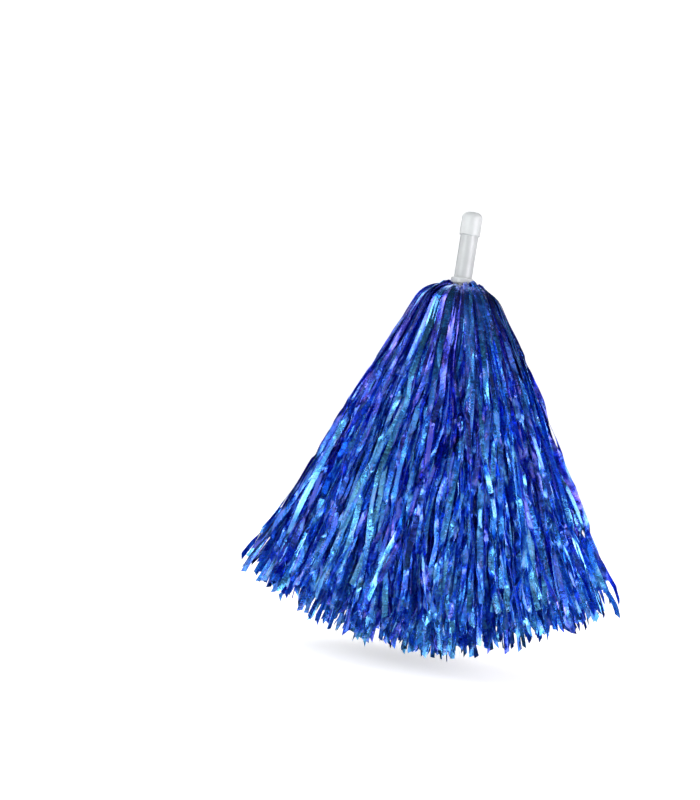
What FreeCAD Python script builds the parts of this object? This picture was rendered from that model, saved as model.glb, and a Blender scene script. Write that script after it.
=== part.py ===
"""Cheer pom pom: a short hollow baton with a skirt of film strips tied round its lower end.

The strips are tied at their middle in a groove of the handle. One half of each strip hangs straight
down, the other half is folded over the tie, so the skirt starts in a round crown under the hand.

Frame, in millimetres: +Z runs up the handle, the origin is the middle of the hand's grip.
The strips are grouped in locks, like the hours of a clock, in three layers that can flare outwards.
Each lock is one closed solid that stands for its bundle of loose strips.
"""
import FreeCAD, Part
import Sketcher
import math
import os

# alias, value (mm, degrees or a count), what it sizes
DIMENSIONS = [
    # handle
    ("tube_radius", 8.0, "outside of the handle tube"),
    ("tube_bore_radius", 6.4, "bore of the handle tube"),
    ("tube_top", 12.0, "height of the tube's upper end, under the knob"),
    ("tube_foot", -77.0, "height of the tube's lower end, inside the skirt"),
    ("groove_ring_radius", 9.2, "outside of the two rings that bound the tie groove"),
    ("groove_ring_width", 2.0, "height of each of those rings"),
    ("groove_top", -51.0, "upper end of the tie groove"),
    ("groove_foot", -62.0, "lower end of the tie groove"),
    ("knob_radius", 9.2, "outside of the knob"),
    ("knob_top", 33.0, "height of the knob's top"),
    ("knob_crown_fillet", 6.0, "rounding of the knob's top edge"),
    ("knob_rim_chamfer", 0.6, "bevel of the knob's lower edge"),
    ("spigot_radius", 6.38, "outside of the spigots pushed into the tube"),
    ("spigot_wall", 1.3, "wall of those spigots"),
    ("knob_spigot_length", 10.0, "depth of the knob's spigot"),
    ("knob_ceiling", 2.0, "thickness of the knob's top wall"),
    ("collar_radius", 10.2, "outside of the collar ring over the crown"),
    ("collar_bore_radius", 8.03, "bore of the collar ring"),
    ("collar_top", -25.5, "upper face of the collar ring"),
    ("collar_foot", -31.5, "lower face of the collar ring"),
    ("collar_fillet", 1.6, "rounding of the collar ring's edges"),
    ("plug_flange_radius", 10.5, "flange of the end plug"),
    ("plug_flange_thickness", 2.5, "thickness of that flange"),
    ("plug_spigot_length", 10.0, "depth of the end plug's spigot"),
    ("plug_floor", 2.0, "thickness of the end plug's closed end"),
    # tie
    ("tie_height", -56.5, "middle height of the cable tie"),
    ("tie_clearance", 0.05, "gap between the strap and the strips"),
    ("tie_strap_width", 4.8, "width of the tie's strap"),
    ("tie_strap_thickness", 1.2, "thickness of the tie's strap"),
    ("tie_head_depth", 4.6, "how far the tie's head stands out from the strips"),
    ("tie_head_clearance", 0.2, "gap between the tie's head and the strips"),
    ("tie_head_width", 7.0, "width of the tie's head along the strap"),
    ("tie_head_height", 6.4, "height of the tie's head"),
    ("tie_tail_length", 4.0, "cut end of the strap past the head"),
    ("tie_tail_overlap", 0.5, "root of that cut end inside the head"),
    # gathered strips round the handle
    ("waist_radius", 11.1, "gathered strips under the tie"),
    ("neck_bore_radius", 9.35, "inside of the strips where they pass a groove ring"),
    ("neck_radius", 13.6, "gathered strips between the tie and the crown"),
    ("neck_top", -34.0, "top of the gathered strips, just under the crown"),
    ("neck_foot", -64.2, "where the straight half of the strips leaves the tie"),
    ("neck_foot_radius", 12.0, "gathered strips at that height"),
    ("neck_spread_height", 4.0, "how far above the groove the neck is full width"),
    ("waist_inset_above", 1.0, "how far into the groove the waist starts"),
    ("waist_inset_below", 1.5, "how far above the groove's foot the waist ends"),
    ("groove_clearance", 0.1, "gap between the strips and the groove's side faces"),
    ("groove_floor_clearance", 0.05, "gap between the strips and the groove's floor"),
    # straight core of the skirt
    ("core_top", -64.4, "top of the core"),
    ("core_cavity_radius", 10.7, "room in the core for the end plug's flange"),
    ("core_cavity_foot", -79.8, "depth of that room"),
    ("core_top_radius", 12.0, "core where it leaves the tie"),
    ("core_foot_radius", 38.0, "core at its tips"),
    ("core_foot", -353.0, "height of the core's outermost tips"),
    ("core_middle_foot", -357.0, "height of the core's middle tips"),
    # locks: twelve sectors, with a gap so that neighbours pass each other
    ("lock_count", 12, "locks round the handle"),
    ("lock_gap_angle", 1.5, "angle left free between neighbouring locks"),
    # outer layer: start, roll over the crown, cone and straight length
    ("outer_start_radius", 14.6, "where the outer layer leaves the handle"),
    ("outer_start_height", -33.0, "top of the crown"),
    ("outer_roll_radius", 21.0, "radius of the crown's shoulder"),
    ("outer_thickness", 9.0, "thickness of the outer layer"),
    ("outer_cone_angle", 26.7, "half angle of the outer cone"),
    ("outer_straight", 286.0, "length of the outer layer below the shoulder"),
    ("middle_start_radius", 14.6, "where the middle layer leaves the handle"),
    ("middle_start_height", -44.0, "top of the middle layer"),
    ("middle_roll_radius", 11.0, "radius of the middle layer's shoulder"),
    ("middle_thickness", 8.0, "thickness of the middle layer"),
    ("middle_cone_angle", 18.5, "half angle of the middle cone"),
    ("middle_straight", 293.0, "length of the middle layer below its shoulder"),
    ("inner_start_radius", 12.6, "where the inner layer leaves the tie"),
    ("inner_start_height", -65.0, "top of the inner layer"),
    ("inner_roll_radius", 10.2, "radius of the inner layer's shoulder"),
    ("inner_thickness", 7.5, "thickness of the inner layer"),
    ("inner_cone_angle", 10.5, "half angle of the inner cone"),
    ("inner_straight", 277.0, "length of the inner layer below its shoulder"),
]
LAYERS = ("outer", "middle", "inner")
ORIGIN, X_AXIS, Y_AXIS = (-1, 1), -1, -2  # sketcher names of the root point and the axes
START, END, CENTRE = 1, 2, 3  # sketcher names of a curve's points


def make_sheet(doc):
    """The driving dimensions, one per row, each with its alias."""
    sheet = doc.addObject("Spreadsheet::Sheet", "Sizes")
    for row, (alias, value, meaning) in enumerate(DIMENSIONS, start=1):
        sheet.set(f"A{row}", alias)
        sheet.set(f"B{row}", str(value))
        sheet.set(f"C{row}", meaning)
        sheet.setAlias(f"B{row}", alias)
    doc.recompute()
    return sheet


def amount(sheet, formula):
    """The plain number that a formula over the sheet has now."""
    return float(sheet.evalExpression(formula))


def new_body(doc, name):
    body = doc.addObject("PartDesign::Body", name)
    body.Label = name
    return body


def plane(body, role):
    """One of the body's own origin planes."""
    return next(p for p in body.Origin.OriginFeatures if p.Role == role)


def new_sketch(body, name, role="XZ_Plane"):
    sketch = body.newObject("Sketcher::SketchObject", name)
    sketch.AttachmentSupport = [(plane(body, role), "")]
    sketch.MapMode = "FlatFace"
    return sketch


def drive(sketch, constraint, formula):
    """Adds a dimensional constraint and binds it to a formula over the sheet."""
    index = sketch.addConstraint(constraint)
    sketch.setExpression(f"Constraints[{index}]", formula)


def place_point(sketch, sheet, curve, end, across, up):
    """Holds one end of a curve at (across, up), each a formula over the sheet."""
    for kind, axis, formula in (("DistanceX", Y_AXIS, across), ("DistanceY", X_AXIS, up)):
        value = amount(sheet, formula)
        if value == 0:
            sketch.addConstraint(Sketcher.Constraint("PointOnObject", curve, end, axis))
        else:
            drive(sketch, Sketcher.Constraint(kind, *ORIGIN, curve, end, value), formula)


def outline_sketch(body, sheet, name, corners, role="XZ_Plane"):
    """A closed outline of straight lines, its corners given as pairs of formulas."""
    sketch = new_sketch(body, name, role)
    points = [FreeCAD.Vector(amount(sheet, a), amount(sheet, u), 0) for a, u in corners]
    count = len(points)
    for i in range(count):
        sketch.addGeometry(Part.LineSegment(points[i], points[(i + 1) % count]), False)
    for i in range(count):
        sketch.addConstraint(Sketcher.Constraint("Coincident", i, END, (i + 1) % count, START))
    for i, (across, up) in enumerate(corners):
        place_point(sketch, sheet, i, START, across, up)
    return sketch


def turn(body, sketch, name="Turned"):
    """Revolves a sketch once round the handle's axis."""
    turned = body.newObject("PartDesign::Revolution", name)
    turned.Profile = sketch
    turned.ReferenceAxis = (sketch, ["V_Axis"])
    turned.Angle = 360
    sketch.Visibility = False
    return turned


def rim_edges(feature, radius, height):
    """The names of the circular edges of that radius at that height."""
    found = []
    for number, edge in enumerate(feature.Shape.Edges, start=1):
        curve = edge.Curve
        if isinstance(curve, Part.Circle) and math.isclose(curve.Radius, radius, abs_tol=1e-6):
            if math.isclose(curve.Center.z, height, abs_tol=1e-6):
                found.append(f"Edge{number}")
    if not found:
        raise RuntimeError(f"{feature.Label} has no rim of radius {radius} at height {height}")
    return found


def dress_rims(body, sheet, base, kind, size_property, size, rims):
    """Fillets or chamfers rims, each named by its radius and height formulas."""
    names = []
    for radius, height in rims:
        names += rim_edges(base, amount(sheet, radius), amount(sheet, height))
    dressed = body.newObject(f"PartDesign::{kind}", kind)
    dressed.Base = (base, names)
    dressed.setExpression(size_property, size)
    return dressed


def handle_tube(doc, sheet):
    """Hollow moulded tube with two rings that bound the groove for the tie."""
    body = new_body(doc, "handle_tube")
    outer, ring = "Sizes.tube_radius", "Sizes.groove_ring_radius"
    upper_ring_top = "Sizes.groove_top + Sizes.groove_ring_width"
    lower_ring_foot = "Sizes.groove_foot - Sizes.groove_ring_width"
    corners = [
        ("Sizes.tube_bore_radius", "Sizes.tube_top"),
        (outer, "Sizes.tube_top"),
        (outer, upper_ring_top),
        (ring, upper_ring_top),
        (ring, "Sizes.groove_top"),
        (outer, "Sizes.groove_top"),
        (outer, "Sizes.groove_foot"),
        (ring, "Sizes.groove_foot"),
        (ring, lower_ring_foot),
        (outer, lower_ring_foot),
        (outer, "Sizes.tube_foot"),
        ("Sizes.tube_bore_radius", "Sizes.tube_foot"),
    ]
    turn(body, outline_sketch(body, sheet, "TubeOutline", corners))
    return body


def knob_cap(doc, sheet):
    """Rounded cap of the free end, with a hollow spigot pushed into the tube."""
    body = new_body(doc, "knob_cap")
    spigot_foot = "Sizes.tube_top - Sizes.knob_spigot_length"
    spigot_inside = "Sizes.spigot_radius - Sizes.spigot_wall"
    ceiling = "Sizes.knob_top - Sizes.knob_ceiling"
    corners = [
        ("0", "Sizes.knob_top"),
        ("0", ceiling),
        (spigot_inside, ceiling),
        (spigot_inside, spigot_foot),
        ("Sizes.spigot_radius", spigot_foot),
        ("Sizes.spigot_radius", "Sizes.tube_top"),
        ("Sizes.knob_radius", "Sizes.tube_top"),
        ("Sizes.knob_radius", "Sizes.knob_top"),
    ]
    turned = turn(body, outline_sketch(body, sheet, "KnobOutline", corners))
    doc.recompute()
    crown = [("Sizes.knob_radius", "Sizes.knob_top")]
    rounded = dress_rims(body, sheet, turned, "Fillet", "Radius", "Sizes.knob_crown_fillet", crown)
    doc.recompute()
    rim = [("Sizes.knob_radius", "Sizes.tube_top")]
    dress_rims(body, sheet, rounded, "Chamfer", "Size", "Sizes.knob_rim_chamfer", rim)
    return body


def collar_ring(doc, sheet):
    """Ring pushed down the tube onto the crown, which keeps the folded strips down."""
    body = new_body(doc, "collar_ring")
    bore, outside = "Sizes.collar_bore_radius", "Sizes.collar_radius"
    corners = [
        (bore, "Sizes.collar_top"),
        (outside, "Sizes.collar_top"),
        (outside, "Sizes.collar_foot"),
        (bore, "Sizes.collar_foot"),
    ]
    turned = turn(body, outline_sketch(body, sheet, "CollarOutline", corners))
    doc.recompute()
    rims = [(outside, "Sizes.collar_top"), (outside, "Sizes.collar_foot")]
    dress_rims(body, sheet, turned, "Fillet", "Radius", "Sizes.collar_fillet", rims)
    return body


def end_plug(doc, sheet):
    """Flanged plug in the tube's lower end, wide enough that the tied strips can't slide off."""
    body = new_body(doc, "end_plug")
    flange_foot = "Sizes.tube_foot - Sizes.plug_flange_thickness"
    spigot_top = "Sizes.tube_foot + Sizes.plug_spigot_length"
    spigot_inside = "Sizes.spigot_radius - Sizes.spigot_wall"
    floor = "Sizes.tube_foot - Sizes.plug_flange_thickness + Sizes.plug_floor"
    corners = [
        ("0", flange_foot),
        ("Sizes.plug_flange_radius", flange_foot),
        ("Sizes.plug_flange_radius", "Sizes.tube_foot"),
        ("Sizes.spigot_radius", "Sizes.tube_foot"),
        ("Sizes.spigot_radius", spigot_top),
        (spigot_inside, spigot_top),
        (spigot_inside, floor),
        ("0", floor),
    ]
    turn(body, outline_sketch(body, sheet, "PlugOutline", corners))
    return body


def pad_about(body, sketch, name, height_formula):
    """Pads a level sketch by half the height each way."""
    pad = body.newObject("PartDesign::Pad", name)
    pad.Profile = sketch
    pad.Midplane = True
    pad.setExpression("Length", height_formula)
    sketch.Visibility = False
    return pad


def cable_tie(doc, sheet):
    """Nylon tie round the waist of the strips: strap, ratchet head and cut tail, in one moulding."""
    body = new_body(doc, "cable_tie")
    strap_inside = "Sizes.waist_radius + Sizes.tie_clearance"
    strap_outside = f"{strap_inside} + Sizes.tie_strap_thickness"
    top = "Sizes.tie_height + Sizes.tie_strap_width / 2"
    foot = "Sizes.tie_height - Sizes.tie_strap_width / 2"
    corners = [(strap_inside, top), (strap_outside, top), (strap_outside, foot), (strap_inside, foot)]
    turn(body, outline_sketch(body, sheet, "StrapOutline", corners), "Strap")
    head_side = "Sizes.tie_head_width / 2"
    head_out = "Sizes.waist_radius + Sizes.tie_head_depth"
    head_in = "Sizes.waist_radius + Sizes.tie_head_clearance"
    tail_out = f"{strap_outside} + Sizes.tie_strap_thickness"
    tail_root = f"{head_side} - Sizes.tie_tail_overlap"
    tail_end = f"{head_side} + Sizes.tie_tail_length"
    blocks = [
        ("Head", head_in, head_out, f"-{head_side}", head_side, "Sizes.tie_head_height"),
        ("Tail", strap_outside, tail_out, tail_root, tail_end, "Sizes.tie_strap_width"),
    ]
    for name, near, far, left, right, height in blocks:
        corners = [(near, left), (far, left), (far, right), (near, right)]
        sketch = outline_sketch(body, sheet, f"{name}Outline", corners, "XY_Plane")
        sketch.setExpression("AttachmentOffset.Base.z", "Sizes.tie_height")
        pad_about(body, sketch, name, height)
    return body


def gathered_neck(doc, sheet):
    """The strips packed round the handle: through the tie groove and up to the crown."""
    body = new_body(doc, "gathered_neck")
    groove_wall = "Sizes.tube_radius + Sizes.groove_floor_clearance"
    groove_top = "Sizes.groove_top - Sizes.groove_clearance"
    groove_foot = "Sizes.groove_foot + Sizes.groove_clearance"
    corners = [
        (groove_wall, groove_foot),
        (groove_wall, groove_top),
        ("Sizes.neck_bore_radius", groove_top),
        ("Sizes.neck_bore_radius", "Sizes.neck_top"),
        ("Sizes.neck_radius", "Sizes.neck_top"),
        ("Sizes.neck_radius", "Sizes.groove_top + Sizes.neck_spread_height"),
        ("Sizes.waist_radius", "Sizes.groove_top - Sizes.waist_inset_above"),
        ("Sizes.waist_radius", "Sizes.groove_foot + Sizes.waist_inset_below"),
        ("Sizes.neck_foot_radius", "Sizes.neck_foot"),
        ("Sizes.neck_bore_radius", "Sizes.neck_foot"),
        ("Sizes.neck_bore_radius", groove_foot),
    ]
    turn(body, outline_sketch(body, sheet, "NeckOutline", corners))
    return body


def core_strips(doc, sheet):
    """The strips that hang straight down in the middle, under the handle's end."""
    body = new_body(doc, "core_strips")
    corners = [
        ("Sizes.core_cavity_radius", "Sizes.core_top"),
        ("Sizes.core_top_radius", "Sizes.core_top"),
        ("Sizes.core_top_radius", "Sizes.core_cavity_foot"),
        ("Sizes.core_foot_radius", "Sizes.core_foot"),
        ("0", "Sizes.core_middle_foot"),
        ("0", "Sizes.core_cavity_foot"),
        ("Sizes.core_cavity_radius", "Sizes.core_cavity_foot"),
    ]
    turn(body, outline_sketch(body, sheet, "CoreOutline", corners))
    return body


def layer_sketch(body, sheet, layer):
    """Section of one layer: away from the handle, over a round shoulder, down a straight cone."""
    start = f"Sizes.{layer}_start_radius"
    roll, thickness = f"Sizes.{layer}_roll_radius", f"Sizes.{layer}_thickness"
    centre_height = f"Sizes.{layer}_start_height - {roll}"
    inner_roll = f"{roll} - {thickness}"
    cone = math.radians(amount(sheet, f"Sizes.{layer}_cone_angle"))
    straight = amount(sheet, f"Sizes.{layer}_straight")
    centre = FreeCAD.Vector(amount(sheet, start), amount(sheet, centre_height), 0)
    out = FreeCAD.Vector(math.cos(cone), math.sin(cone), 0)
    down = FreeCAD.Vector(math.sin(cone), -math.cos(cone), 0)
    up = FreeCAD.Vector(0, 1, 0)
    outside, inside = amount(sheet, roll), amount(sheet, inner_roll)

    def shoulder(radius):
        circle = Part.Circle(centre, FreeCAD.Vector(0, 0, 1), radius)
        return Part.ArcOfCircle(circle, cone, math.pi / 2)

    sketch = new_sketch(body, "LayerOutline")
    outer_tip = centre + out * outside + down * straight
    inner_tip = centre + out * inside + down * straight
    curves = [
        Part.LineSegment(centre + up * inside, centre + up * outside),
        shoulder(outside),
        Part.LineSegment(centre + out * outside, outer_tip),
        Part.LineSegment(outer_tip, inner_tip),
        Part.LineSegment(inner_tip, centre + out * inside),
        shoulder(inside),
    ]
    edge, outer_arc, outer_line, tips, inner_line, inner_arc = (
        sketch.addGeometry(curve, False) for curve in curves
    )
    fixed = [
        ("Coincident", edge, END, outer_arc, END),
        ("Tangent", outer_arc, START, outer_line, START),
        ("Coincident", outer_line, END, tips, START),
        ("Coincident", tips, END, inner_line, START),
        ("Tangent", inner_line, END, inner_arc, START),
        ("Coincident", inner_arc, END, edge, START),
        ("Coincident", outer_arc, CENTRE, inner_arc, CENTRE),
        ("Vertical", edge),
        ("Vertical", outer_arc, CENTRE, outer_arc, END),
        ("Perpendicular", outer_line, tips),
        ("Parallel", outer_line, inner_line),
    ]
    for constraint in fixed:
        sketch.addConstraint(Sketcher.Constraint(*constraint))
    place_point(sketch, sheet, outer_arc, CENTRE, start, centre_height)
    drive(sketch, Sketcher.Constraint("Radius", outer_arc, outside), roll)
    drive(sketch, Sketcher.Constraint("Radius", inner_arc, inside), inner_roll)
    drive(sketch, Sketcher.Constraint("Distance", outer_line, straight), f"Sizes.{layer}_straight")
    drive(
        sketch,
        Sketcher.Constraint("Angle", outer_line, cone - math.pi / 2),
        f"(Sizes.{layer}_cone_angle - 90) * 1 deg",
    )
    return sketch


def lock_of_strips(doc, sheet, layer, number):
    """One lock of a layer: the layer's section turned through its share of the circle."""
    body = new_body(doc, f"{layer}_strips_{number:02d}")
    sketch = layer_sketch(body, sheet, layer)
    lock = body.newObject("PartDesign::Revolution", "Lock")
    lock.Profile = sketch
    lock.ReferenceAxis = (sketch, ["V_Axis"])
    lock.Midplane = True
    lock.setExpression("Angle", "(360 / Sizes.lock_count - Sizes.lock_gap_angle) * 1 deg")
    sketch.Visibility = False
    up = FreeCAD.Vector(0, 0, 1)
    turn_share = (number - 1) * 360 / amount(sheet, "Sizes.lock_count")
    body.Placement = FreeCAD.Placement(FreeCAD.Vector(), FreeCAD.Rotation(up, turn_share))
    if number > 1:
        body.setExpression("Placement.Rotation.Angle", f"{number - 1} * 360 deg / Sizes.lock_count")
    return body


def check(doc, pieces):
    """Stops the script if any object failed or any piece has no valid solid."""
    for item in doc.Objects:
        if {"Invalid", "Error"} & set(item.State):
            raise RuntimeError(f"{item.Label} failed: {item.State}")
    for piece in pieces:
        shape = piece.Shape
        if shape.isNull() or not shape.isValid() or len(shape.Solids) != 1:
            raise RuntimeError(f"{piece.Label} is not one valid solid")


def main():
    doc = FreeCAD.newDocument("CheerPomPom")
    sheet = make_sheet(doc)
    makers = (handle_tube, knob_cap, collar_ring, end_plug, cable_tie, gathered_neck, core_strips)
    pieces = [make(doc, sheet) for make in makers]
    for layer in LAYERS:
        for number in range(1, int(amount(sheet, "Sizes.lock_count")) + 1):
            pieces.append(lock_of_strips(doc, sheet, layer, number))
    doc.recompute()
    check(doc, pieces)
    os.makedirs("parts", exist_ok=True)
    for piece in pieces:
        piece.Shape.exportStep(f"parts/{piece.Label}.step")
    litres = sum(piece.Shape.Volume for piece in pieces) / 1e6
    print(f"{len(pieces)} pieces, {litres:.3f} litres of solid")


main()
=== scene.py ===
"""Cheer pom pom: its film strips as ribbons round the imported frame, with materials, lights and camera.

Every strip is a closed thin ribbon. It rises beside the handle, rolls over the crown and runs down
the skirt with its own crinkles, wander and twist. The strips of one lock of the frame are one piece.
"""
import math

import bpy
import numpy as np
from mathutils import Matrix, Vector


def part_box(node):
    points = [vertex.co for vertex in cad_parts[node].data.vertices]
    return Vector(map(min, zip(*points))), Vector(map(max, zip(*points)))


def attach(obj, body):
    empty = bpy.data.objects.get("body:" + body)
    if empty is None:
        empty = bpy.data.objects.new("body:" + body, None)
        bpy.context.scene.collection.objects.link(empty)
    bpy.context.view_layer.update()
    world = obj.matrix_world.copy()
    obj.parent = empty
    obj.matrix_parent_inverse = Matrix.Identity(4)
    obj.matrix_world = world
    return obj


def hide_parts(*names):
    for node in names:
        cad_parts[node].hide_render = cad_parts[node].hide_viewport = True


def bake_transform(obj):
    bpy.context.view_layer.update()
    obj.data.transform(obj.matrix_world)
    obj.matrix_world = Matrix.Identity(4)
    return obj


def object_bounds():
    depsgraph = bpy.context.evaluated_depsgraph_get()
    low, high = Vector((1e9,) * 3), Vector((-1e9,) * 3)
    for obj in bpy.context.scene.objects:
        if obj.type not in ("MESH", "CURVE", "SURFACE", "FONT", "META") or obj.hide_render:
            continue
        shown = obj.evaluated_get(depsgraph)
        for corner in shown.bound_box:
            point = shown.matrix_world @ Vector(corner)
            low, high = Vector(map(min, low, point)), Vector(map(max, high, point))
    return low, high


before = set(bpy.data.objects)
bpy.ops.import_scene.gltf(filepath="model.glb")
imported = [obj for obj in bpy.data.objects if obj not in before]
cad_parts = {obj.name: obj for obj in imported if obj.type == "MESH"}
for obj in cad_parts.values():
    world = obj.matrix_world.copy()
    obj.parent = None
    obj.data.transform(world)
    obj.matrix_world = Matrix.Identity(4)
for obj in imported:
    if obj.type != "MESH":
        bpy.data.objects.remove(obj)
cad_low, cad_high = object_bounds()

MM = 0.001
HANDLE = "handle"  # the body that everything hangs from
LOCKS = 12  # locks of strips in a layer
SEED = 29
CORE_SEED = 100  # added to SEED for the core's strips
NECK_SEED = 200  # and for the neck's

STRIP_WIDTH = 4.4 * MM
STRIP_THICKNESS = 0.22 * MM
RINGS = 72  # cross-sections along a hanging strip
CLOSER = 1.18  # the cross-sections stand closer together at the crown when this is above 1
ACROSS = 3  # points across a strip's face
CORE_STRIPS = 110
NECK_STRIPS = 120
NECK_RINGS = 18  # cross-sections along a strip of the neck

# how each layer is filled: the solids' shoulder radius and how much rounder the strips lie over it,
# strips in a lock, and their spread of cone angles (degrees)
FILL = {
    "outer": {
        "roll": 21 * MM, "rounder": 7 * MM, "strips": 56,
        "inward": 9.5, "outward": 1.8, "bend_end": 62 * MM,
    },
    "middle": {
        "roll": 11 * MM, "rounder": 2 * MM, "strips": 32,
        "inward": 10.0, "outward": 3.0, "bend_end": 45 * MM,
    },
    "inner": {
        "roll": 10.2 * MM, "rounder": 0.0, "strips": 18,
        "inward": 8.0, "outward": 4.0, "bend_end": 36 * MM,
    },
}
CLOSED = 2.2  # degrees that a tuft hangs inside the layer's cone, unless it is a stray one
SHORTER = 0.06  # share by which the strips are shorter on the side that the skirt leans to
WIDEST = 168 * MM  # strips that would spread beyond this are pressed back by half
SKIRT_LEAN = 3.4  # degrees that the skirt hangs to one side of the handle's line
LEAN_START = 40 * MM  # depth below the crown from which the skirt leans fully
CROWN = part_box("outer_strips_01")[1].z
FLOOR_GAP = 8 * MM  # the skirt hangs this far above the floor


# ---------------------------------------------------------------- measures taken from the frame


def node_profile(node):
    """Radius and height of each vertex of a CAD node, in metres."""
    points = np.array([v.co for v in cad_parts[node].data.vertices], float)
    return np.hypot(points[:, 0], points[:, 1]), points[:, 2]


def layer_shape(layer):
    """The layer's start, shoulder, cone angle and straight length, from the frame's first lock."""
    radius, height = node_profile(f"{layer}_strips_01")
    roll = FILL[layer]["roll"]
    start, top = radius.min(), height.max()
    tip = radius.argmax()
    out, down = radius[tip] - start, top - roll - height[tip]
    straight = math.sqrt(out**2 + down**2 - roll**2)
    cone = math.atan2(out, down) - math.atan2(roll, straight)
    root = height[radius < start + 0.2 * MM]
    rounder = FILL[layer]["rounder"]
    return {"start": start, "top": top, "roll": roll + rounder, "straight": straight,
            "cone": cone - rounder * math.cos(cone) / straight,
            "thickness": root.max() - root.min(), "fullness": roll / FILL["outer"]["roll"]}


# ---------------------------------------------------------------- strips


def smooth(x):
    x = np.clip(x, 0, 1)
    return x * x * (3 - 2 * x)


def waves(rng, tuft, at, shortest, longest, harmonics=3):
    """A smooth wander along each strip, between about -1 and 1. Strips of one tuft wander together."""
    count = tuft.max() + 1
    total = np.zeros_like(at)
    for _ in range(harmonics):
        length = rng.uniform(shortest, longest, (count, 1))[tuft]
        phase = rng.uniform(0, 2 * math.pi, (count, 1))[tuft]
        total += np.sin(2 * math.pi * at / length + phase)
    return total / math.sqrt(harmonics)


def creases(rng, tuft, at, shortest, longest, turn=0.0):
    """Random values, about -1 to 1, that change at creases along each strip, alike within a tuft.

    With no `turn` they run straight from one crease to the next. With one, they keep still between
    creases and change over that length.
    """
    result = np.empty_like(at)
    creased = int(at.max() / shortest) + 2
    for number in range(tuft.max() + 1):
        places = np.cumsum(rng.uniform(shortest, longest, creased)) - rng.uniform(0, longest)
        values = rng.normal(0, 0.6, creased)
        if turn:
            places = np.stack([places[1:] - turn / 2, places[1:] + turn / 2], 1).ravel()
            values = np.repeat(values, 2)[1:-1]
        for i in np.flatnonzero(tuft == number):
            result[i] = np.interp(at[i], places, values)
    return result


def hook_path(at, rise, turn, neck, top, roll, cone):
    """Radius and height at distance `at` along strips that rise, turn out, roll over and run down."""
    ends = np.cumsum([rise, turn * math.pi / 2, roll * (math.pi / 2 - cone)], axis=0)
    on_turn = np.clip(at - ends[0], 0, ends[1] - ends[0]) / turn
    on_roll = np.clip(at - ends[1], 0, ends[2] - ends[1]) / roll
    on_cone = np.clip(at - ends[2], 0, None)
    radius = neck + turn * (1 - np.cos(on_turn)) + roll * np.sin(on_roll)
    radius += on_cone * np.sin(cone)
    height = top - turn - rise + np.clip(at, 0, rise) + turn * np.sin(on_turn)
    height -= roll * (1 - np.cos(on_roll)) + on_cone * np.cos(cone)
    return radius, height, on_cone


def ribbons(name, rng, path, side, twist, width, arch):
    """One mesh of closed ribbons along paths (strips, rings, 3), whose faces look along `side` x path.

    The lower ends are cut at a slant, each at its own.
    """
    count, rings, _ = path.shape
    along = np.gradient(path, axis=1)
    step = np.linalg.norm(along, axis=2, keepdims=True)
    along = along / step
    face = np.cross(along, side)
    face /= np.linalg.norm(face, axis=2, keepdims=True)
    side = np.cross(face, along)
    cosine, sine = np.cos(twist)[..., None], np.sin(twist)[..., None]
    side, face = side * cosine + face * sine, face * cosine - side * sine

    across = np.linspace(-0.5, 0.5, ACROSS)
    lift = 1 - (2 * across) ** 2
    around = np.concatenate([across, across[::-1]])
    raised = np.concatenate([lift, lift[::-1]])
    under = np.concatenate([np.zeros(ACROSS), np.ones(ACROSS)])
    corners = len(around)
    points = path[:, :, None, :] + side[:, :, None, :] * (width[..., None] * around)[..., None]
    depth = arch[..., None] * raised - STRIP_THICKNESS * under
    points = points + face[:, :, None, :] * depth[..., None]
    slant = rng.uniform(-1.2, 1.2, (count, 1)) * width[:, -1:] * around
    points[:, -1] += along[:, -1, None, :] * slant[..., None]

    travelled = np.cumsum(step[..., 0], axis=1)
    strip_at = np.empty((count, rings, corners, 3), np.float32)
    strip_at[..., 0] = around
    strip_at[..., 1] = travelled[..., None]
    strip_at[..., 2] = rng.uniform(0, 1, (count, 1, 1))

    number = np.arange(count * rings * corners).reshape(count, rings, corners)
    here, there = number[:, :-1], number[:, 1:]
    walls = np.stack([here, there, np.roll(there, -1, 2), np.roll(here, -1, 2)], axis=-1)
    quads = [walls.reshape(-1, 4)]
    for i in range(ACROSS - 1):
        cap = [i, i + 1, corners - 2 - i, corners - 1 - i]
        quads.append(number[:, 0][:, cap])
        quads.append(number[:, -1][:, cap[::-1]])
    quads = np.concatenate(quads)

    mesh = bpy.data.meshes.new(name)
    mesh.vertices.add(points.size // 3)
    mesh.vertices.foreach_set("co", points.astype(np.float32).ravel())
    mesh.loops.add(quads.size)
    mesh.loops.foreach_set("vertex_index", quads.astype(np.int32).ravel())
    mesh.polygons.add(len(quads))
    mesh.polygons.foreach_set("loop_start", np.arange(0, quads.size, 4, dtype=np.int32))
    mesh.polygons.foreach_set("use_smooth", np.ones(len(quads), bool))
    mesh.update(calc_edges=True)
    mesh.set_sharp_from_angle(angle=math.radians(50))
    attribute = mesh.attributes.new("strip_at", "FLOAT_VECTOR", "POINT")
    attribute.data.foreach_set("vector", strip_at.ravel())
    piece = bpy.data.objects.new(name, mesh)
    bpy.context.scene.collection.objects.link(piece)
    return piece


def lean(points):
    """Lets the skirt hang to one side, more the further it is below the crown."""
    drop = np.clip(CROWN - points[..., 2], 0, None)
    points[..., 0] += drop * math.tan(math.radians(SKIRT_LEAN)) * smooth(drop / LEAN_START)
    points[..., 0] -= 0.5 * np.clip(points[..., 0] - WIDEST, 0, None)
    return points


def to_points(radius, height, angle):
    return np.stack([radius * np.cos(angle), radius * np.sin(angle), height], axis=-1)


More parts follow.
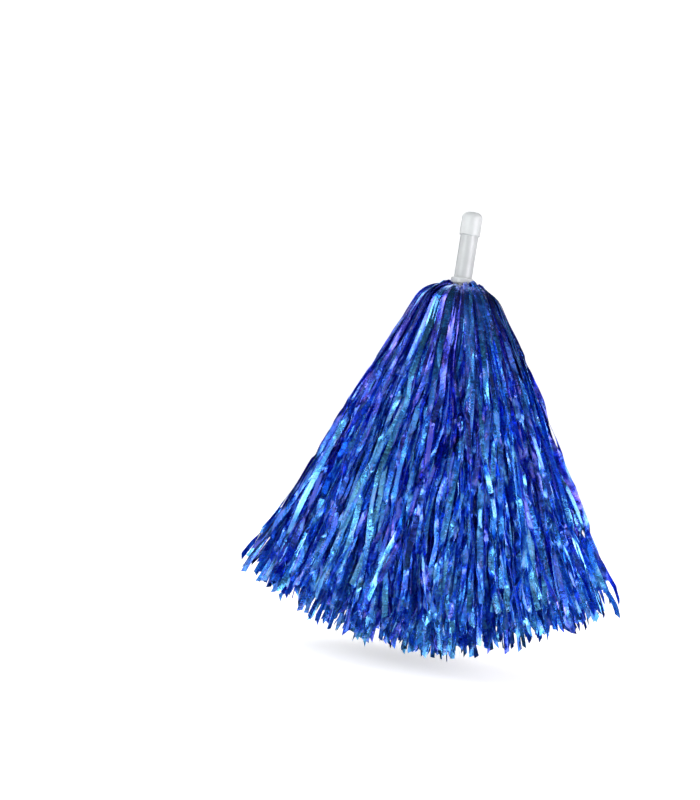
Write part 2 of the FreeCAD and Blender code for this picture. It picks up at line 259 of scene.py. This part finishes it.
def hanging_strips(name, rng, azimuth, spread, shape, fill):
    """Strips of one lock: they fan out over `spread` radians round `azimuth`, in small tufts."""
    count = fill["strips"]
    tufts = count * 2 // 5
    tuft = rng.integers(0, tufts, count)
    tuft[rng.integers(0, count)] = tufts - 1  # the last tuft is never empty
    single = np.arange(count)

    def pick(low, high):
        return rng.uniform(low, high, (count, 1))

    def pick_tuft(low, high):
        return rng.uniform(low, high, (tufts, 1))[tuft]

    layer = np.clip(rng.beta(1.0, 1.6, (tufts, 1))[tuft] + pick(-0.08, 0.08), 0, 1)  # 0 is outside
    bulge = pick_tuft(-3.2 * MM, 0.4 * MM) + pick(-0.3 * MM, 0.3 * MM)
    bulge = bulge * (1 - 0.7 * layer)
    sunk = layer * shape["thickness"] * 0.9
    roll = shape["roll"] - sunk + bulge * 0.3
    top = shape["top"] - sunk + bulge
    inward = np.radians(fill["inward"]) * rng.beta(1.0, 1.5, (count, 1)) * (0.3 + 0.7 * layer)
    stray = pick_tuft(0, 1) ** 2  # some tufts stand out from the rest
    cone = shape["cone"] - inward
    cone += np.radians(CLOSED + fill["outward"]) * stray - np.radians(CLOSED)
    straight = shape["straight"] * (1.015 - 0.16 * rng.beta(1.2, 3.0, (count, 1)))
    straight *= 1 - SHORTER * max(math.cos(azimuth), 0) ** 2
    turn = pick(1.6 * MM, 3.0 * MM)
    neck = shape["start"] - turn - pick(0, 1.0 * MM)
    rise = pick(8 * MM, 12 * MM)
    total = rise + turn * math.pi / 2 + roll * (math.pi / 2 - cone) + straight
    at = total * np.linspace(0, 1, RINGS)[None, :] ** CLOSER
    radius, height, on_cone = hook_path(at, rise, turn, neck, top, roll, cone)
    free = smooth(on_cone / (120 * MM))

    # a few tufts stand up in a low loop beside the handle
    loop = pick_tuft(-7 * MM, 5 * MM).clip(0)
    height += loop * np.exp(-(((at - rise - turn - 3 * MM) / (5 * MM)) ** 2))

    # tufts wander in and out of the layer and sideways, and so does each strip a little
    down_share = on_cone / straight
    depth = waves(rng, tuft, at, 90 * MM, 260 * MM) * pick_tuft(0.5 * MM, 2.5 * MM) * free
    creased = 0.25 + 0.75 * smooth(free * 3)
    depth += creases(rng, single, at, 12 * MM, 40 * MM) * pick(0.4 * MM, 2.4 * MM) * creased
    depth += (pick_tuft(-7 * MM, 2 * MM) + pick(-3 * MM, 3 * MM)) * down_share**2
    depth += 9 * MM * stray * down_share**3
    depth += pick_tuft(1 * MM, 5 * MM) * shape["fullness"] * 6.75 * down_share * (1 - down_share) ** 2
    sideways = waves(rng, tuft, at, 160 * MM, 420 * MM, 2) * pick_tuft(1.0 * MM, 6 * MM) * free
    sideways += creases(rng, single, at, 14 * MM, 60 * MM) * pick(0.6 * MM, 3.4 * MM) * free
    sideways += rng.normal(0, 7 * MM, (count, 1)) * down_share**1.5
    frayed = down_share**5  # the ends point every way
    depth += rng.normal(0, 4 * MM, (count, 1)) * frayed
    sideways += rng.normal(0, 9 * MM, (count, 1)) * frayed
    radius = radius + depth * np.cos(cone)
    height = height + depth * np.sin(cone)
    # the tufts stand side by side round the lock, so that no gap is left between them
    angle = (tuft[:, None] + pick_tuft(0, 1)) / tufts - 0.5 + rng.normal(0, 0.045, (count, 1))
    angle = azimuth + spread * angle.clip(-0.5, 0.5) + sideways / radius

    path = lean(to_points(radius, height, angle))
    side = np.stack([-np.sin(angle), np.cos(angle), np.zeros_like(angle)], axis=-1)
    facets = creases(rng, tuft, at, 25 * MM, 90 * MM, 12 * MM) * pick_tuft(0.3, 0.9)
    facets += creases(rng, single, at, 8 * MM, 34 * MM, 4 * MM) * pick(0.3, 1.5) * (0.3 + 0.7 * free)
    turns = rng.normal(0, 0.8, (count, 1)) * math.pi * down_share
    twist = (facets + turns) * (0.5 + 0.5 * free) + rng.normal(0, 0.12, (count, 1))
    twist += rng.normal(0, 0.4, (tufts, 1))[tuft] * (1 - 0.4 * free)
    gathered = smooth((radius - shape["start"]) / (20 * MM))
    width = STRIP_WIDTH * pick(0.9, 1.15) * (0.8 + 0.2 * gathered)
    arch = width * (pick(-0.06, 0.1) + 0.18 * (1 - gathered))
    return ribbons(name, rng, path, side, twist, width, arch)


def make_locks(materials):
    for place, (layer, fill) in enumerate(FILL.items()):
        shape = layer_shape(layer)
        for number in range(1, LOCKS + 1):
            rng = np.random.default_rng([SEED, place, number])
            azimuth = 2 * math.pi * (number - 1) / LOCKS
            spread = 2 * math.pi / LOCKS
            name = f"{layer}_foil_{number:02d}"
            piece = hanging_strips(name, rng, azimuth, spread, shape, fill)
            piece.data.materials.append(materials["foil"])
            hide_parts(f"{layer}_strips_{number:02d}")
            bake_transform(piece)


def make_core(materials):
    """The straight halves of the strips, hanging under the end of the handle."""
    rng = np.random.default_rng([SEED, CORE_SEED])
    count = CORE_STRIPS
    single = np.arange(count)
    low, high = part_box("core_strips")
    inner, outer = 11.2 * MM, 12.2 * MM  # the strips start between these, round the end plug

    def pick(least, most):
        return rng.uniform(least, most, (count, 1))

    angle = pick(0, 2 * math.pi)
    share = np.linspace(0, 1, RINGS)[None, :]
    length = (high.z - low.z) * (1 - 0.12 * rng.beta(1.2, 2.5, (count, 1)))
    height = high.z - length * share
    reach = (high.x - outer) * np.sqrt(pick(0, 1))
    close = smooth(share * 3.2)  # the strips close up again under the handle
    radius = pick(inner, outer) * (1 - close) + (reach * share + 4 * MM * pick(0.2, 1)) * close
    radius = np.maximum(radius, 1 * MM)
    at = length * share
    sideways = waves(rng, single, at, 90 * MM, 260 * MM, 2) * pick(1 * MM, 4 * MM) * close
    sideways += creases(rng, single, at, 25 * MM, 80 * MM) * pick(0.6 * MM, 3 * MM) * close
    path = to_points(radius, height, angle)
    side = np.stack([-np.sin(angle), np.cos(angle), np.zeros_like(angle)], axis=-1)
    side = np.broadcast_to(side, path.shape)
    path = lean(path + side * sideways[..., None])
    twist = creases(rng, single, at, 16 * MM, 62 * MM, 6 * MM) * pick(0.4, 1.2)
    twist = twist + rng.normal(0, 1.0, (count, 1)) * math.pi * share
    width = STRIP_WIDTH * pick(0.86, 1.1) * (0.55 + 0.45 * close)
    arch = width * pick(-0.1, 0.16)
    piece = ribbons("core_foil", rng, path, side, twist, width, arch)
    piece.data.materials.append(materials["foil"])
    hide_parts("core_strips")
    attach(piece, HANDLE)


def make_neck(materials):
    """The gathered middles of the strips: up the handle through the tie, to just under the crown."""
    rng = np.random.default_rng([SEED, NECK_SEED])
    count = NECK_STRIPS
    single = np.arange(count)
    low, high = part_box("gathered_neck")
    tie_low, tie_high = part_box("cable_tie")
    tie = (tie_low.z + tie_high.z) / 2
    waist = 9.6 * MM  # radius of the innermost strips under the tie
    foot = 11.4 * MM  # radius of the outermost strips below the tie
    full = high.x - 0.6 * MM  # radius of the outermost strips above it

    def pick(least, most):
        return rng.uniform(least, most, (count, 1))

    share = np.linspace(0, 1, NECK_RINGS)[None, :]
    height = low.z + (high.z - low.z) * share * np.ones((count, 1))
    spread = smooth(np.abs(height - tie) / (10 * MM))
    depth = pick(0, 1)
    outermost = np.where(height > tie, full, foot)
    radius = waist + 1.1 * MM * depth + spread * (outermost - waist - 1.2 * MM) * depth
    at = height - low.z
    angle = pick(0, 2 * math.pi) + waves(rng, single, at, 20 * MM, 60 * MM) * 0.05
    path = to_points(radius, height, angle)
    side = np.stack([-np.sin(angle), np.cos(angle), np.zeros_like(angle)], axis=-1)
    twist = waves(rng, single, at, 20 * MM, 50 * MM) * 0.25
    width = STRIP_WIDTH * (0.3 + 0.25 * spread)
    arch = width * 0.22
    piece = ribbons("neck_foil", rng, path, side, twist, width, arch)
    piece.data.materials.append(materials["foil"])
    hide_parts("gathered_neck")
    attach(piece, HANDLE)


# ---------------------------------------------------------------- materials


def new_material(name):
    material = bpy.data.materials.new(name)
    material.use_nodes = True
    nodes, links = material.node_tree.nodes, material.node_tree.links
    shader = nodes["Principled BSDF"]

    def add(kind, **settings):
        node = nodes.new(kind)
        for key, value in settings.items():
            if key in node.inputs:
                node.inputs[key].default_value = value
            else:
                setattr(node, key, value)
        return node

    def join(start, start_socket, end, end_socket):
        links.new(start.outputs[start_socket], end.inputs[end_socket])

    return material, shader, add, join


def stretched_noise(add, join, place, socket, stretch, **settings):
    """A noise texture over the coordinates of `place`, which are multiplied by `stretch` first."""
    scaled = add("ShaderNodeVectorMath", operation="MULTIPLY")
    scaled.inputs[1].default_value = stretch
    noise = add("ShaderNodeTexNoise", Scale=1.0, **settings)
    join(place, socket, scaled, 0)
    join(scaled, "Vector", noise, "Vector")
    return noise


def ramp(node, *stops):
    """Sets a colour ramp's stops: (place, colour) pairs."""
    elements = node.color_ramp.elements
    while len(elements) < len(stops):
        elements.new(0.5)
    for element, (place, colour) in zip(elements, stops):
        element.position = place
        element.color = (*colour, 1)


def foil_material():
    """Metallised blue film: a tinted mirror under a clear skin, with fine crinkles across the strip."""
    material, shader, add, join = new_material("blue_foil")
    place = add("ShaderNodeAttribute", attribute_name="strip_at")
    parts = add("ShaderNodeSeparateXYZ")
    join(place, "Vector", parts, "Vector")

    tone = add("ShaderNodeValToRGB")
    ramp(
        tone,
        (0.00, (0.040, 0.050, 0.60)),
        (0.35, (0.032, 0.140, 0.84)),
        (0.70, (0.040, 0.280, 0.94)),
        (1.00, (0.110, 0.450, 0.97)),
    )
    # each strip has its own tone, and drifts lighter and darker along its length
    drift = stretched_noise(add, join, place, "Vector", (0.5, 28.0, 37.0), Detail=2.0)
    mixed = add("ShaderNodeMath", operation="MULTIPLY_ADD")
    mixed.inputs[1].default_value = 1.1
    # painted shade: the tone is darker where the strips are packed at the crown, and lighter towards
    # their ends
    painted_crown_shade = add("ShaderNodeMapRange", **{"To Min": -0.80, "To Max": -0.38})
    painted_crown_shade.inputs["From Min"].default_value = 20 * MM
    painted_crown_shade.inputs["From Max"].default_value = 300 * MM
    total = add("ShaderNodeMath", operation="ADD")
    join(drift, "Fac", mixed, 0)
    join(parts, "Z", mixed, 2)
    join(parts, "Y", painted_crown_shade, "Value")
    join(mixed, "Value", total, 0)
    join(painted_crown_shade, "Result", total, 1)
    join(total, "Value", tone, "Fac")

    # a trace of violet and green, as thin film shows
    sheen_noise = stretched_noise(add, join, place, "Vector", (1.5, 60.0, 91.0), Detail=1.0)
    sheen = add("ShaderNodeValToRGB")
    ramp(
        sheen,
        (0.28, (0.50, 0.22, 0.55)),
        (0.42, (0.0, 0.0, 0.0)),
        (0.58, (0.0, 0.0, 0.0)),
        (0.72, (0.18, 0.55, 0.30)),
    )
    join(sheen_noise, "Fac", sheen, "Fac")
    tinted = add("ShaderNodeMix", data_type="RGBA", blend_type="ADD")
    tinted.inputs[0].default_value = 0.35
    join(tone, "Color", tinted, 6)
    join(sheen, "Color", tinted, 7)
    join(tinted, 2, shader, "Base Color")

    # crinkles: ridges across the strip, finer than the ribbons' own bends
    crinkle = stretched_noise(
        add, join, place, "Vector", (1.1, 210.0, 53.0), Detail=3.0, Roughness=0.6
    )
    bump = add("ShaderNodeBump", Strength=0.55, Distance=0.0012)
    join(crinkle, "Fac", bump, "Height")
    join(bump, "Normal", shader, "Normal")

    rough = add("ShaderNodeMapRange", **{"To Min": 0.16, "To Max": 0.38})
    join(crinkle, "Fac", rough, "Value")
    join(rough, "Result", shader, "Roughness")
    shader.inputs["Metallic"].default_value = 1.0
    shader.inputs["Coat Weight"].default_value = 0.8
    shader.inputs["Coat Roughness"].default_value = 0.12
    shader.inputs["Coat IOR"].default_value = 1.55
    return material


def plastic_material(name, light, dark, roughness, clearness, scattering):
    """Moulded plastic: faint clouding, fine flow lines along the handle, and uneven polish."""
    material, shader, add, join = new_material(name)
    place = add("ShaderNodeTexCoord")
    cloud = add("ShaderNodeTexNoise", Scale=90.0, Detail=4.0)
    join(place, "Object", cloud, "Vector")
    colour = add("ShaderNodeValToRGB")
    ramp(colour, (0.3, dark), (0.7, light))
    join(cloud, "Fac", colour, "Fac")
    join(colour, "Color", shader, "Base Color")

    flow = stretched_noise(add, join, place, "Object", (900.0, 900.0, 35.0), Detail=3.0)
    bump = add("ShaderNodeBump", Strength=0.12, Distance=0.0004)
    join(flow, "Fac", bump, "Height")
    join(bump, "Normal", shader, "Normal")
    polish = {"To Min": roughness - 0.06, "To Max": roughness + 0.08}
    rough = add("ShaderNodeMapRange", **polish)
    join(flow, "Fac", rough, "Value")
    join(rough, "Result", shader, "Roughness")
    shader.inputs["Transmission Weight"].default_value = clearness
    shader.inputs["Subsurface Weight"].default_value = scattering
    shader.inputs["Subsurface Radius"].default_value = (4 * MM, 4 * MM, 4 * MM)
    shader.inputs["Coat Weight"].default_value = 0.25
    shader.inputs["Coat Roughness"].default_value = 0.2
    return material


def dress_frame(materials):
    """Gives the CAD pieces that stay in view their materials."""
    chosen = {
        "handle_tube": "tube",
        "knob_cap": "knob",
        "collar_ring": "knob",
        "end_plug": "knob",
        "cable_tie": "nylon",
    }
    for node, material in chosen.items():
        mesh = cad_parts[node].data
        mesh.materials.clear()
        mesh.materials.append(materials[material])


# ---------------------------------------------------------------- stage, lights and camera


def make_stage(floor):
    """A pale floor that sweeps up into a wall all round, and can be seen through from below.

    The film doesn't reflect it, and it keeps no light from the object.
    """
    bend, height, steps, sides = 4.5, 8.0, 14, 64  # the floor bends up from `bend` metres on
    profile = [(0.0, floor), (bend, floor)]
    for i in range(1, steps + 1):
        angle = math.pi / 2 * i / steps
        profile.append((bend * (1 + math.sin(angle)), floor + height * (1 - math.cos(angle))))
    points, faces = [], []
    for radius, level in profile:
        for side in range(sides):
            angle = 2 * math.pi * side / sides
            points.append((radius * math.cos(angle), radius * math.sin(angle), level))
    for ring in range(len(profile) - 1):
        for side in range(sides):
            nearer, further = ring * sides, (ring + 1) * sides
            after = (side + 1) % sides
            faces.append((nearer + side, further + side, further + after, nearer + after))
    mesh = bpy.data.meshes.new("cove")
    mesh.from_pydata(points, [], faces)
    mesh.polygons.foreach_set("use_smooth", [True] * len(faces))
    cove = bpy.data.objects.new("cove", mesh)
    bpy.context.scene.collection.objects.link(cove)
    material, shader, add, join = new_material("pale_cove")
    shader.inputs["Base Color"].default_value = (0.86, 0.86, 0.87, 1)
    shader.inputs["Roughness"].default_value = 0.9
    shader.inputs["Specular IOR Level"].default_value = 0.0
    shader.inputs["Emission Color"].default_value = (1, 1, 1, 1)
    shader.inputs["Emission Strength"].default_value = 0.55
    facing = add("ShaderNodeNewGeometry")
    clear = add("ShaderNodeBsdfTransparent")
    chosen = add("ShaderNodeMixShader")
    join(facing, "Backfacing", chosen, 0)
    join(shader, 0, chosen, 1)
    join(clear, 0, chosen, 2)
    join(chosen, 0, material.node_tree.nodes["Material Output"], "Surface")
    mesh.materials.append(material)
    cove.visible_glossy = False
    cove.visible_shadow = False


def area_light(name, place, aim, size, power, tint=(1, 1, 1)):
    light = bpy.data.lights.new(name, "AREA")
    light.shape = "RECTANGLE"
    light.size, light.size_y = size
    light.energy = power
    light.color = tint
    lamp = bpy.data.objects.new(name, light)
    lamp.location = place
    lamp.rotation_euler = (Vector(aim) - Vector(place)).to_track_quat("-Z", "Y").to_euler()
    lamp.visible_camera = False
    bpy.context.scene.collection.objects.link(lamp)


def make_lights(centre):
    """Soft lights all round. The film is a mirror, so each is placed for the strips that reflect it."""
    area_light("key", (-1.3, -0.9, 0.85), centre, (1.5, 1.3), 2.0, (0.92, 0.97, 1.0))
    area_light("low_key", (-1.6, -0.92, 0.3), centre, (0.9, 0.6), 1.2, (0.95, 1.0, 0.98))
    area_light("spark", (-0.9, -1.3, 0.35), centre, (0.25, 0.25), 1.9, (0.95, 1.0, 1.0))
    area_light("left", (-1.6, 0.2, 0.1), centre, (1.2, 1.0), 3.4, (1.0, 0.93, 1.0))
    area_light("front", (0.2, -1.9, -0.65), centre, (2.4, 0.8), 12.0, (0.9, 1.0, 0.96))
    area_light("right", (1.5, -0.8, -0.3), centre, (1.0, 1.0), 9.0, (0.95, 0.93, 1.0))
    # these stand nearer and light the lower half of the skirt
    skirt = centre - Vector((0, 0, 0.1))
    area_light("near_left", (-0.75, -0.75, 0.03), skirt, (0.5, 0.35), 1.8, (0.95, 1.0, 1.0))
    area_light("near_right", (0.75, -0.75, 0.03), skirt, (0.5, 0.35), 3.4, (1.0, 0.96, 1.0))
    area_light("near_top", (0.1, -0.75, 0.35), skirt, (0.6, 0.3), 0.7, (0.95, 1.0, 1.0))
    # the crown's two sides
    area_light("left_high", (-1.34, 0.0, 1.19), centre, (0.9, 0.6), 8.0, (0.95, 1.0, 1.0))
    area_light("right_high", (1.68, 0.0, 0.73), centre, (0.9, 0.6), 6.5, (1.0, 0.96, 1.0))
    # the back and the underside
    area_light("back", (-0.5, 1.4, 1.1), centre, (1.8, 0.9), 10.0)
    area_light("low_back", (0.6, 1.7, 0.3), centre, (1.0, 0.7), 3.5)
    area_light("below", (0.3, -0.5, -1.7), centre, (1.4, 1.0), 5.0)


def make_world():
    """A dim room for the reflections, and plain white for the camera."""
    world = bpy.data.worlds.new("studio")
    world.use_nodes = True
    nodes, links = world.node_tree.nodes, world.node_tree.links
    background = nodes["Background"]
    background.inputs["Strength"].default_value = 0.12
    # the room is lighter on the upper left in front
    direction = nodes.new("ShaderNodeTexCoord")
    facing = nodes.new("ShaderNodeVectorMath")
    facing.operation = "DOT_PRODUCT"
    facing.inputs[1].default_value = Vector((-0.7, -0.5, 0.4)).normalized()
    shade = nodes.new("ShaderNodeValToRGB")
    ramp(shade, (0.0, (0.04, 0.05, 0.07)), (0.5, (0.20, 0.24, 0.30)), (1.0, (0.75, 0.85, 0.90)))
    half = nodes.new("ShaderNodeMapRange")
    half.inputs["From Min"].default_value = -1.0
    links.new(direction.outputs["Generated"], facing.inputs[0])
    links.new(facing.outputs["Value"], half.inputs["Value"])
    links.new(half.outputs["Result"], shade.inputs["Fac"])
    links.new(shade.outputs["Color"], background.inputs["Color"])
    # the camera sees plain white where the cove doesn't reach
    plain = nodes.new("ShaderNodeBackground")
    plain.inputs["Color"].default_value = (1, 1, 1, 1)
    kind = nodes.new("ShaderNodeLightPath")
    seen = nodes.new("ShaderNodeMixShader")
    links.new(kind.outputs["Is Camera Ray"], seen.inputs[0])
    links.new(background.outputs[0], seen.inputs[1])
    links.new(plain.outputs[0], seen.inputs[2])
    links.new(seen.outputs[0], nodes["World Output"].inputs["Surface"])
    bpy.context.scene.world = world


def make_camera():
    """Level with the skirt and rolled, so that the handle leans to the right."""
    roll = math.radians(9.0)
    distance, lens, sensor = 1.66, 85.0, 36.0
    aim = Vector((-0.0812, 0.0, -0.147))
    camera = bpy.data.cameras.new("camera")
    camera.lens = lens
    camera.sensor_width = sensor
    eye = bpy.data.objects.new("camera", camera)
    facing = Matrix.Rotation(math.pi / 2, 4, "X")
    eye.matrix_world = Matrix.Translation(aim + Vector((0, -distance, 0))) @ (
        facing @ Matrix.Rotation(roll, 4, "Z")
    )
    bpy.context.scene.collection.objects.link(eye)
    bpy.context.scene.camera = eye


make_camera()
made = {
    "foil": foil_material(),
    "tube": plastic_material("milky_tube", (0.54, 0.55, 0.55), (0.48, 0.49, 0.49), 0.3, 0.3, 0.2),
    "knob": plastic_material("white_knob", (0.56, 0.57, 0.57), (0.50, 0.51, 0.51), 0.32, 0.2, 0.2),
    "nylon": plastic_material("natural_nylon", (0.74, 0.73, 0.68), (0.66, 0.65, 0.6), 0.45, 0.1, 0.3),
}
dress_frame(made)
make_locks(made)
make_core(made)
make_neck(made)
make_stage(cad_low.z - FLOOR_GAP)
make_lights((cad_low + cad_high) / 2)
make_world()
bpy.context.scene.view_settings.view_transform = "Standard"
